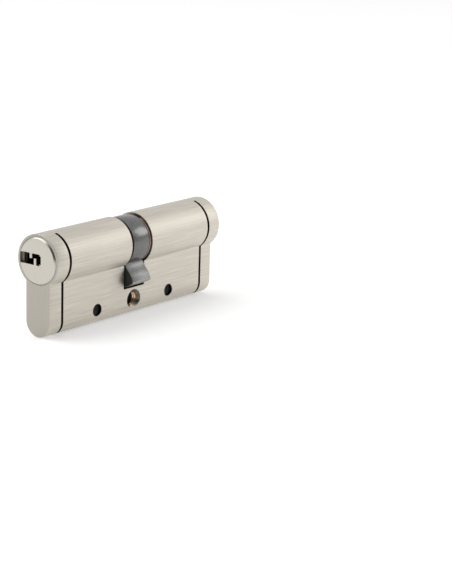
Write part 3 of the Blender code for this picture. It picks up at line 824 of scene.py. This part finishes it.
def keyway_outline():
    """Anticlockwise, seen with +Y to the right and +Z up."""
    low_y, high_y = KEYWAY_Y
    low_z, high_z = KEYWAY_Z
    step = KEYWAY_STEP
    return [
        (low_y, low_z + step),
        (low_y + step, low_z + step),
        (low_y + step, low_z),
        (LOWER_WARD_Y[0], low_z),
        (LOWER_WARD_Y[0], LOWER_WARD_Z),
        (LOWER_WARD_Y[1], LOWER_WARD_Z),
        (LOWER_WARD_Y[1], low_z),
        (high_y, low_z),
        (high_y, high_z),
        (UPPER_WARD_Y[1], high_z),
        (UPPER_WARD_Y[1], UPPER_WARD_Z),
        (UPPER_WARD_Y[0], UPPER_WARD_Z),
        (UPPER_WARD_Y[0], high_z),
        (low_y + step, high_z),
        (low_y + step, high_z - step),
        (low_y, high_z - step),
    ]


def plug_profile():
    """(radius, distance from the middle of the cylinder), from the head's face to the neck's end."""
    groove_low, groove_high = CLIP_GROOVE_X
    quarter = math.pi / 4
    corner = HEAD_EDGE * math.tan(quarter / 2)
    inner_centre = (HEAD_R - HEAD_CHAMFER - corner, HEAD_FACE_X - HEAD_EDGE)
    outer_centre = (HEAD_R - HEAD_EDGE, HEAD_FACE_X - HEAD_CHAMFER - corner)
    return [
        (0, HEAD_FACE_X),
        *arc(HEAD_EDGE, 2 * quarter, quarter, 4, inner_centre),
        *arc(HEAD_EDGE, quarter, 0, 4, outer_centre),
        (HEAD_R, HEAD_BACK_X),
        (PLUG_R, HEAD_BACK_X),
        (PLUG_R, groove_high),
        (CLIP_GROOVE_R, groove_high),
        (CLIP_GROOVE_R, groove_low),
        (NECK_R, groove_low),
        (NECK_R, NECK_END_X),
        (0, NECK_END_X),
    ]


def head_cutters():
    """The keyway with its chamfered lips, and the stepped pocket that lengthens it in the head's face."""
    face = -HEAD_FACE_X
    outline = keyway_outline()
    lip = KEYWAY_CHAMFER / 4
    sections = [
        (face - lip, offset_outline(outline, KEYWAY_CHAMFER + lip)),
        (face + KEYWAY_CHAMFER, outline),
        (-KEYWAY_END_X, outline),
    ]
    low = (face - PAST, KEYWAY_Y[1] - PAST, KEYWAY_Z[0])
    high_z = KEYWAY_Z[1]
    shelf = box_mesh(low, (face + HEAD_RECESS_DEPTH, HEAD_RECESS_Y, high_z))
    rim_high = (face + HEAD_RECESS_DEPTH + KEYWAY_CHAMFER, HEAD_STEP_Y + 2 * KEYWAY_CHAMFER, high_z)
    step = box_mesh(low, (face + HEAD_STEP_DEPTH, HEAD_STEP_Y, high_z))
    return [
        (loft_mesh(sections), MATERIALS["keyway"]),
        (shelf, MATERIALS["recess"]),
        # The pocket's rim takes the darker end nickel: painted shade.
        (box_mesh(low, rim_high), MATERIALS["nickel_end_shaded"]),
        # The step pocket is painted near black: painted shade.
        (step, MATERIALS["groove"]),
    ]


def plug_cutters():
    """What is cut from the front plug, head first."""
    # The keyway's material paints the passage, clutch slot, drill hole and chambers near black: painted
    # shade.
    keyway = MATERIALS["keyway"]
    low_y, low_z = TIP_PASSAGE[0]
    high_y, high_z = TIP_PASSAGE[1]
    slot_x, slot_z = CLUTCH_SLOT
    passage = box_mesh((-KEYWAY_END_X - PAST, low_y, low_z), (-slot_x + PAST, high_y, high_z))
    slot = box_mesh((-slot_x, -NECK_R - PAST, -slot_z), (PAST - NECK_END_X, NECK_R + PAST, slot_z))
    x, y, _z = middle_of("plug_drill_pin_front")
    drill_hole = rod_mesh((x, y, -PLUG_R), (x, y, PLUG_DRILL_HOLE_TOP_Z), PLUG_DRILL_HOLE_R)
    cutters = head_cutters() + [(passage, keyway), (slot, keyway), (drill_hole, keyway)]
    for number in PINS:
        x = chamber_x("front", number)
        low, high = (x, 0, -PLUG_R - PAST), (x, 0, PLUG_CHAMBER_TOP_Z)
        cutters.append((rod_mesh(low, high, CHAMBER_R, segments=PIN_SEGMENTS), keyway))
    return cutters


def make_plug(end, side):
    """The front plug's shape, turned half a turn about Z for the rear."""
    lay = Matrix.Rotation(-math.pi / 2, 4, "Y")
    body = turned_mesh(plug_profile(), FINE_SEGMENTS, lay)
    plug = piece(f"plug_{end}_body", body, MATERIALS["nickel_head"])
    carve(plug, plug_cutters())
    plug.data.transform(Matrix.Rotation(math.pi if side > 0 else 0.0, 4, "Z"))
    plated = plug.data.materials[:].index(MATERIALS["nickel_head"])
    bare_below_x = HEAD_BACK_X + PAST / 10  # only the head is plated

    def behind_head(face):
        return face.material_index == plated and abs(face.center.x) < bare_below_x

    def head_side(face):
        radius = math.hypot(face.center.y, face.center.z)
        sideways = abs(face.normal.x) < HEAD_SIDE_NORMAL and radius > PLUG_R + PAST / 2
        return face.material_index == plated and sideways

    # The head's side wall is painted near black: painted shade in the gap round the head.
    repaint(plug, MATERIALS["groove"], head_side)
    repaint(plug, MATERIALS["brass"], behind_head)
    finish_piece(plug, f"plug_{end}", f"plug_{end}")


# ---------------------------------------------------------------- cam, clutch and clips


def lever_flank():
    """(distance from the axis, half thickness) along a flank: a fillet at the ring, then a smooth flare."""
    neck, fillet = LEVER_NECK_HALF_THICKNESS, LEVER_FILLET_R
    flare_u = math.sqrt((CAM_R + fillet) ** 2 - (neck + fillet) ** 2)
    to_ring = math.atan2(neck + fillet, flare_u)
    points = [(LEVER_ROOT_R * math.cos(to_ring), LEVER_ROOT_R * math.sin(to_ring))]
    points += arc(fillet, math.pi + to_ring, 1.5 * math.pi, 8, (flare_u, neck + fillet))
    start, end = LEVER_FLARE
    for i in range(1, 17):
        share = i / 16
        ease = share * share * (3 - 2 * share)
        points.append((start + (end - start) * share, neck + (LEVER_TIP_HALF_THICKNESS - neck) * ease))
    return points


def lever_outline():
    """Flanks that flare to the tip, and a tip that is round about the axis."""
    corner = LEVER_CORNER_R
    offset = LEVER_TIP_HALF_THICKNESS - corner
    reach = math.sqrt((LEVER_TIP_R - corner) ** 2 - offset**2)
    lean = math.atan2(offset, reach)
    flank = lever_flank()
    right = arc(corner, math.pi / 2, lean, 8, (reach, offset))
    tip = arc(LEVER_TIP_R, lean, -lean, 12)[1:-1]
    left = arc(corner, -lean, -math.pi / 2, 8, (reach, -offset))
    back = [(u, -v) for u, v in reversed(flank)]
    along = [*flank, *right, *tip, *left, *back]
    turn = -math.pi / 2 - LEVER_ANGLE
    cos, sin = math.cos(turn), math.sin(turn)
    return [(u * cos - v * sin, u * sin + v * cos) for u, v in along]


def cam_bore_outline():
    """The ring's bore, with a groove for the clutch on each side."""
    half = CLUTCH_GROOVE_HALF_HEIGHT
    inner = math.asin(half / CAM_BORE_R)
    outer = math.asin(half / CLUTCH_GROOVE_R)
    steps = FINE_SEGMENTS // 2
    upper = arc(CAM_BORE_R, inner, math.pi - inner, steps)
    lower = arc(CAM_BORE_R, math.pi + inner, 2 * math.pi - inner, steps)
    left = arc(CLUTCH_GROOVE_R, math.pi - outer, math.pi + outer, 6)
    right = arc(CLUTCH_GROOVE_R, -outer, outer, 6)
    return upper + left + lower + right


def make_lever():
    """The lever alone, cut back beside the slot's walls down to a clearance round the axis."""
    # The lever takes the lighter copy of the cam steel: painted light.
    steel = MATERIALS["lever"]
    lever = piece("lever", plate_mesh([lever_outline()], CAM_LOW.x, CAM_HIGH.x, CAM_EDGE), steel)
    clearances = []
    for inside, outside in ((CAM_X[0], CAM_LOW.x), (CAM_X[1], CAM_HIGH.x)):
        side = math.copysign(1.0, outside)
        start, end = (inside - side * PAST / 4, 0, 0), (outside + side * PAST, 0, 0)
        clearances.append((rod_mesh(start, end, LEVER_CLEARANCE_R, segments=FINE_SEGMENTS), steel))
    carve(lever, clearances)
    return lever


def make_cam():
    rim = arc(CAM_R, 0, 2 * math.pi, FINE_SEGMENTS)[:-1]
    ring = plate_mesh([rim, cam_bore_outline()], *CAM_X, CAM_EDGE)
    cam = piece("cam_ring_and_lever", ring, MATERIALS["cam"])
    lever = make_lever()
    carve(cam, [(lever.data, MATERIALS["lever"])], "UNION")
    bpy.data.objects.remove(lever, do_unlink=True)

    def from_axis(face):
        return math.hypot(face.center.y, face.center.z)

    def highlit_tip(face):
        return abs(face.normal.x) < END_NORMAL and from_axis(face) > LEVER_HIGHLIGHT_FROM_R

    def end_face(face):
        return abs(face.normal.x) > CAM_END_NORMAL

    def front_edge(face):
        return from_axis(face) < CAM_R and -CAM_END_NORMAL < face.normal.x < -CAM_EDGE_NORMAL

    # The lever's tip faces are painted lighter: a painted highlight.
    repaint(cam, MATERIALS["lever_tip_highlight"], highlit_tip)
    # The cam's end faces are painted near black: painted shade.
    repaint(cam, MATERIALS["steel_painted_shade"], end_face)
    # The ring's front edge is painted near black: painted shade in the gap beside the body.
    repaint(cam, MATERIALS["groove"], front_edge)
    finish_piece(cam, "cam", "cam")


def make_clutch():
    low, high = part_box("clutch")
    spread = math.asin(high.z / high.y)
    outline = arc(high.y, -spread, spread, 8) + arc(high.y, math.pi - spread, math.pi + spread, 8)
    clutch = piece("clutch_bar", plate_mesh([outline], low.x, high.x, BODY_EDGE), MATERIALS["bar"])
    finish_piece(clutch, "clutch", "clutch")


def make_clips():
    start = math.pi / 2 + CLIP_GAP_ANGLE
    stop = math.pi * 2.5 - CLIP_GAP_ANGLE
    steps = FINE_SEGMENTS // 2
    outline = arc(CLIP_OUTER_R, start, stop, steps) + arc(CLIP_INNER_R, stop, start, steps)
    for end, _side in ENDS:
        node = f"circlip_{end}"
        low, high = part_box(node)
        # The front clip is painted near black, painted shade; the rear clip keeps its bronze.
        clip_material = MATERIALS["clip"] if end == "rear" else MATERIALS["groove"]
        clip = piece(f"{node}_ring", plate_mesh([outline], low.x, high.x, CLIP_EDGE), clip_material)
        finish_piece(clip, f"plug_{end}", node)


# ---------------------------------------------------------------- pins and springs


def standing_on(node):
    """Moves a mesh that stands on its own origin into the place of a node."""
    x, _y, _z = middle_of(node)
    return Matrix.Translation((x, 0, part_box(node)[0].z))


def make_key_pin(node):
    """A brass pin with a flat foot and a blunt conical tip that reaches up into the key."""
    low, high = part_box(node)
    length = high.z - low.z
    tip_centre = (KEY_PIN_TIP_FLAT_R, length - KEY_PIN_TIP_ROUND)
    tip = arc(KEY_PIN_TIP_ROUND, math.pi / 2, KEY_PIN_TIP_ANGLE, 5, tip_centre)
    base = arc(PIN_ROUND, 0, -math.pi / 2, 6, (PIN_R - PIN_ROUND, PIN_ROUND))
    profile = [(0, length), *tip, (PIN_R, length - KEY_PIN_POINT), *base, (0, 0)]
    pin = piece(f"{node}_turned", turned_mesh(profile, PIN_SEGMENTS, standing_on(node)), MATERIALS["pin"])
    finish_piece(pin, node, node)


def make_driver_pin(node):
    low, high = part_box(node)
    profile = rounded_rod(PIN_R, high.z - low.z, PIN_ROUND)
    mesh = turned_mesh(profile, PIN_SEGMENTS, standing_on(node))
    finish_piece(piece(f"{node}_turned", mesh, MATERIALS["driver"]), node, node)


def make_spring(node):
    """A coil that stands on the bar and fills its node's height."""
    low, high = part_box(node)
    height = high.z - low.z
    place = standing_on(node)
    spring = piece(f"{node}_coil", spring_mesh(height), MATERIALS["spring"])
    spring.data.transform(place)
    finish_piece(spring, "housing", node)
    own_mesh(spring)


def make_pin_stack(end, number):
    make_key_pin(f"key_pin_{end}_{number}")
    make_driver_pin(f"driver_pin_{end}_{number}")
    make_spring(f"driver_spring_{end}_{number}")


def spring_mesh(height):
    """A coil that stands on its own origin. Its end turns lie close together, as on a ground spring."""
    curve = bpy.data.curves.new("spring", "CURVE")
    curve.dimensions = "3D"
    curve.bevel_depth = SPRING_WIRE_R
    curve.bevel_resolution = 2
    curve.use_fill_caps = True
    count = int(SPRING_TURNS * SPRING_STEPS) + 1
    spline = curve.splines.new("POLY")
    spline.points.add(count - 1)
    low, high = SPRING_WIRE_R, height - SPRING_WIRE_R
    end_rise = SPRING_END_PITCH * SPRING_END_TURNS
    middle_turns = SPRING_TURNS - 2 * SPRING_END_TURNS
    for i, point in enumerate(spline.points):
        turns = i / SPRING_STEPS
        from_end = min(turns, SPRING_TURNS - turns)
        if from_end <= SPRING_END_TURNS:
            rise = end_rise * from_end / SPRING_END_TURNS
            z = low + rise if turns < SPRING_TURNS / 2 else high - rise
        else:
            share = (turns - SPRING_END_TURNS) / middle_turns
            z = low + end_rise + (high - low - 2 * end_rise) * share
        angle = 2 * math.pi * turns
        point.co = (SPRING_R * math.cos(angle), SPRING_R * math.sin(angle), z, 1)
    return curve_mesh(curve, Matrix.Identity(4))


# ---------------------------------------------------------------- stage


def make_floor():
    """A white floor that glows a little, so that it stays white beside the object."""
    bm = bmesh.new()
    bmesh.ops.create_grid(bm, x_segments=1, y_segments=1, size=FLOOR_HALF_SIZE)
    floor = piece("floor", mesh_from(bm, "floor"), bpy.data.materials.new("floor_white"))
    floor.location.z = BODY_BOTTOM_Z - FLOOR_GAP
    material = floor.data.materials[0]
    material.use_nodes = True
    shader = material.node_tree.nodes["Principled BSDF"]
    shader.inputs["Base Color"].default_value = (FLOOR_GREY, FLOOR_GREY, FLOOR_GREY, 1.0)
    shader.inputs["Roughness"].default_value = 0.9
    shader.inputs["Specular IOR Level"].default_value = 0.0
    shader.inputs["Emission Color"].default_value = (1.0, 1.0, 1.0, 1.0)
    shader.inputs["Emission Strength"].default_value = FLOOR_GLOW


def make_world():
    """A grey studio, nearly black towards the side that the camera looks from."""
    world = bpy.data.worlds.new("studio")
    bpy.context.scene.world = world
    world.use_nodes = True
    tree = world.node_tree
    direction = tree.nodes.new("ShaderNodeTexCoord").outputs["Generated"]
    towards = tree.nodes.new("ShaderNodeVectorMath")
    towards.operation = "DOT_PRODUCT"
    towards.inputs[1].default_value = DARK_SIDE
    tree.links.new(direction, towards.inputs[0])
    strength = remap(tree, towards.outputs["Value"], *WORLD_STRENGTH, *WORLD_FADE)
    tree.links.new(strength, tree.nodes["Background"].inputs["Strength"])
    tree.nodes["Background"].inputs["Color"].default_value = (1.0, 1.0, 1.0, 1.0)


def softbox(name, direction, distance, size, radiance):
    """A rectangular light that faces the cylinder from the direction given."""
    light = bpy.data.lights.new(name, "AREA")
    light.shape = "RECTANGLE"
    light.size, light.size_y = size
    light.energy = radiance * math.pi * size[0] * size[1]
    obj = bpy.data.objects.new(name, light)
    towards = Vector(direction).normalized()
    obj.location = towards * distance
    obj.rotation_euler = (-towards).to_track_quat("-Z", "Y").to_euler()
    bpy.context.scene.collection.objects.link(obj)


def make_lights():
    softbox("overhead_softbox", (-0.3, 0.4, 0.85), distance=1.0, size=(1.0, 1.0), radiance=1.5)
    softbox("right_softbox", (0.745, -0.45, 0.37), distance=1.5, size=(0.62, 0.6), radiance=1.9)


def make_camera():
    camera = bpy.data.objects.new("camera", bpy.data.cameras.new("camera"))
    camera.data.lens = CAMERA_LENS_MM
    camera.data.clip_start = 0.01
    camera.data.clip_end = 20.0
    level = math.cos(CAMERA_DIP)
    forward = (level * math.cos(CAMERA_AZIMUTH), level * math.sin(CAMERA_AZIMUTH), -math.sin(CAMERA_DIP))
    aim = Vector(forward).to_track_quat("-Z", "Y").to_matrix().to_4x4()
    camera.matrix_world = Matrix.Translation(CAMERA_LOCATION) @ aim @ Matrix.Rotation(CAMERA_ROLL, 4, "Z")
    bpy.context.scene.collection.objects.link(camera)
    bpy.context.scene.camera = camera


make_housing()
make_bar()
for end_name, _side in ENDS:
    make_straight_pins(end_name)
for end_name, end_side in ENDS:
    make_plug(end_name, end_side)
    for pin_number in PINS:
        make_pin_stack(end_name, pin_number)
make_cam()
make_clutch()
make_clips()
make_floor()
make_world()
make_lights()
make_camera()
bpy.context.scene.view_settings.view_transform = "Standard"
